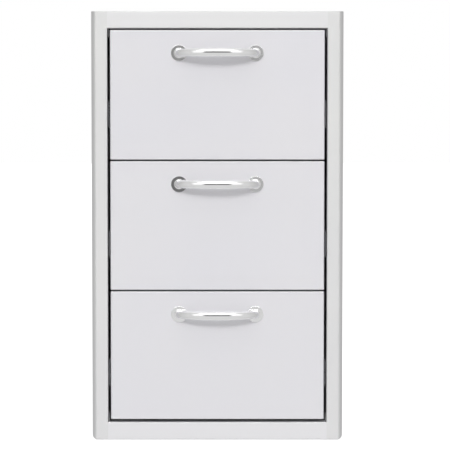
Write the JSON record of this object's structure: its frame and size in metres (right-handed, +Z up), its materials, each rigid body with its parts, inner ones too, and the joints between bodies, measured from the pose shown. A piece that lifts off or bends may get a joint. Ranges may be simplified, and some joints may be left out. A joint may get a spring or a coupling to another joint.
{
  "type": "outdoor kitchen drawer unit",
  "caption": "Built-in stainless drawer unit: a pressed frame with rounded sides round stacked inset drawers that roll on telescopic slides, each with an arched handle.",
  "frame": {"origin": "middle of the bottom rail's return lip, on the face that lies against the wall", "axes": "+Z up, +Y into the wall, so the fronts face -Y; +X to the right seen from the front"},
  "size_m": [0.422, 0.5674, 0.72],
  "materials": {
    "frame_steel": "fine-brushed stainless steel, pressed frame",
    "front_steel": "fine-brushed stainless steel, grain across",
    "casing_steel": "mill-finish stainless sheet",
    "slide_steel": "bright rolled steel with a trace of grease",
    "cage_steel": "bright strip and polished balls",
    "handle_steel": "mirror-polished stainless steel",
    "bumper_rubber": "black moulded rubber"
  },
  "bodies": {
    "cabinet": {"front_frame": "frame_steel", "side_panel_left": "casing_steel", "side_panel_right": "casing_steel", "top_panel": "casing_steel", "base_panel": "casing_steel", "back_panel": "casing_steel", "top_drawer_cabinet_rail_left": "slide_steel", "top_drawer_cabinet_rail_right": "slide_steel", "top_drawer_stop_bumper_left": "bumper_rubber", "top_drawer_stop_bumper_right": "bumper_rubber", "middle_drawer_cabinet_rail_left": "slide_steel", "middle_drawer_cabinet_rail_right": "slide_steel", "middle_drawer_stop_bumper_left": "bumper_rubber", "middle_drawer_stop_bumper_right": "bumper_rubber", "bottom_drawer_cabinet_rail_left": "slide_steel", "bottom_drawer_cabinet_rail_right": "slide_steel", "bottom_drawer_stop_bumper_left": "bumper_rubber", "bottom_drawer_stop_bumper_right": "bumper_rubber"},
    "top_drawer": {"top_drawer_front": "front_steel", "top_drawer_liner": "casing_steel", "top_drawer_tray": "casing_steel", "top_drawer_handle_bar": "handle_steel", "top_drawer_rosette_left": "handle_steel", "top_drawer_rosette_right": "handle_steel", "top_drawer_drawer_rail_left": "slide_steel", "top_drawer_drawer_rail_right": "slide_steel"},
    "top_drawer_runners": {"top_drawer_intermediate_rail_left": "slide_steel", "top_drawer_intermediate_rail_right": "slide_steel"},
    "top_drawer_outer_cages": {"top_drawer_outer_cage_left": "cage_steel", "top_drawer_outer_cage_right": "cage_steel"},
    "top_drawer_inner_cages": {"top_drawer_inner_cage_left": "cage_steel", "top_drawer_inner_cage_right": "cage_steel"},
    "middle_drawer": {"middle_drawer_front": "front_steel", "middle_drawer_liner": "casing_steel", "middle_drawer_tray": "casing_steel", "middle_drawer_handle_bar": "handle_steel", "middle_drawer_rosette_left": "handle_steel", "middle_drawer_rosette_right": "handle_steel", "middle_drawer_drawer_rail_left": "slide_steel", "middle_drawer_drawer_rail_right": "slide_steel"},
    "middle_drawer_runners": {"middle_drawer_intermediate_rail_left": "slide_steel", "middle_drawer_intermediate_rail_right": "slide_steel"},
    "middle_drawer_outer_cages": {"middle_drawer_outer_cage_left": "cage_steel", "middle_drawer_outer_cage_right": "cage_steel"},
    "middle_drawer_inner_cages": {"middle_drawer_inner_cage_left": "cage_steel", "middle_drawer_inner_cage_right": "cage_steel"},
    "bottom_drawer": {"bottom_drawer_front": "front_steel", "bottom_drawer_liner": "casing_steel", "bottom_drawer_tray": "casing_steel", "bottom_drawer_handle_bar": "handle_steel", "bottom_drawer_rosette_left": "handle_steel", "bottom_drawer_rosette_right": "handle_steel", "bottom_drawer_drawer_rail_left": "slide_steel", "bottom_drawer_drawer_rail_right": "slide_steel"},
    "bottom_drawer_runners": {"bottom_drawer_intermediate_rail_left": "slide_steel", "bottom_drawer_intermediate_rail_right": "slide_steel"},
    "bottom_drawer_outer_cages": {"bottom_drawer_outer_cage_left": "cage_steel", "bottom_drawer_outer_cage_right": "cage_steel"},
    "bottom_drawer_inner_cages": {"bottom_drawer_inner_cage_left": "cage_steel", "bottom_drawer_inner_cage_right": "cage_steel"}
  },
  "joints": [
    {"name": "top_drawer_slide", "type": "slide", "parent": "cabinet", "child": "top_drawer", "axis": [0, -1, 0], "range_m": [0, 0.45]},
    {"name": "top_drawer_runners_slide", "type": "slide", "parent": "cabinet", "child": "top_drawer_runners", "axis": [0, -1, 0], "range_m": [0, 0.225]},
    {"name": "top_drawer_outer_cages_slide", "type": "slide", "parent": "cabinet", "child": "top_drawer_outer_cages", "axis": [0, -1, 0], "range_m": [0, 0.1125]},
    {"name": "top_drawer_inner_cages_slide", "type": "slide", "parent": "cabinet", "child": "top_drawer_inner_cages", "axis": [0, -1, 0], "range_m": [0, 0.3375]},
    {"name": "middle_drawer_slide", "type": "slide", "parent": "cabinet", "child": "middle_drawer", "axis": [0, -1, 0], "range_m": [0, 0.45]},
    {"name": "middle_drawer_runners_slide", "type": "slide", "parent": "cabinet", "child": "middle_drawer_runners", "axis": [0, -1, 0], "range_m": [0, 0.225]},
    {"name": "middle_drawer_outer_cages_slide", "type": "slide", "parent": "cabinet", "child": "middle_drawer_outer_cages", "axis": [0, -1, 0], "range_m": [0, 0.1125]},
    {"name": "middle_drawer_inner_cages_slide", "type": "slide", "parent": "cabinet", "child": "middle_drawer_inner_cages", "axis": [0, -1, 0], "range_m": [0, 0.3375]},
    {"name": "bottom_drawer_slide", "type": "slide", "parent": "cabinet", "child": "bottom_drawer", "axis": [0, -1, 0], "range_m": [0, 0.45]},
    {"name": "bottom_drawer_runners_slide", "type": "slide", "parent": "cabinet", "child": "bottom_drawer_runners", "axis": [0, -1, 0], "range_m": [0, 0.225]},
    {"name": "bottom_drawer_outer_cages_slide", "type": "slide", "parent": "cabinet", "child": "bottom_drawer_outer_cages", "axis": [0, -1, 0], "range_m": [0, 0.1125]},
    {"name": "bottom_drawer_inner_cages_slide", "type": "slide", "parent": "cabinet", "child": "bottom_drawer_inner_cages", "axis": [0, -1, 0], "range_m": [0, 0.3375]}
  ],
  "couplings": [
    {"joint": "top_drawer_runners_slide", "follows": "top_drawer_slide", "ratio": 0.5},
    {"joint": "top_drawer_outer_cages_slide", "follows": "top_drawer_slide", "ratio": 0.25},
    {"joint": "top_drawer_inner_cages_slide", "follows": "top_drawer_slide", "ratio": 0.75},
    {"joint": "middle_drawer_runners_slide", "follows": "middle_drawer_slide", "ratio": 0.5},
    {"joint": "middle_drawer_outer_cages_slide", "follows": "middle_drawer_slide", "ratio": 0.25},
    {"joint": "middle_drawer_inner_cages_slide", "follows": "middle_drawer_slide", "ratio": 0.75},
    {"joint": "bottom_drawer_runners_slide", "follows": "bottom_drawer_slide", "ratio": 0.5},
    {"joint": "bottom_drawer_outer_cages_slide", "follows": "bottom_drawer_slide", "ratio": 0.25},
    {"joint": "bottom_drawer_inner_cages_slide", "follows": "bottom_drawer_slide", "ratio": 0.75}
  ]
}
